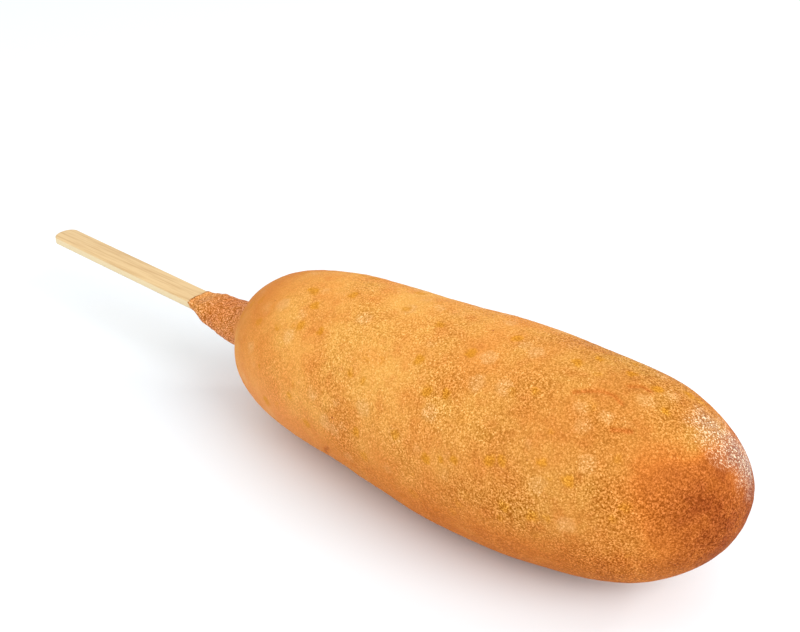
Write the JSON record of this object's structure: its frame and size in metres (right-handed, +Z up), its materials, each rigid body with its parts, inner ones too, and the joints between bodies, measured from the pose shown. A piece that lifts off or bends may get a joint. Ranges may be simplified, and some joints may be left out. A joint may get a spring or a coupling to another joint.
{
  "type": "corn dog",
  "caption": "Corn dog lying on its side: a long rounded body of golden fried batter, drawn out as a rough collar along a flat wooden stick with a round end.",
  "frame": {"origin": "on the surface that the food rests on, under the middle of the bounding box", "axes": "+X level along the food to its rounded tip, with the stick towards -X; +Z up from the flat that it rests on"},
  "size_m": [0.183, 0.0412, 0.0409],
  "materials": {
    "fried_batter": "satin",
    "birch": "matte"
  },
  "bodies": {
    "root": {"batter": "fried_batter", "stick": "birch"}
  },
  "joints": []
}
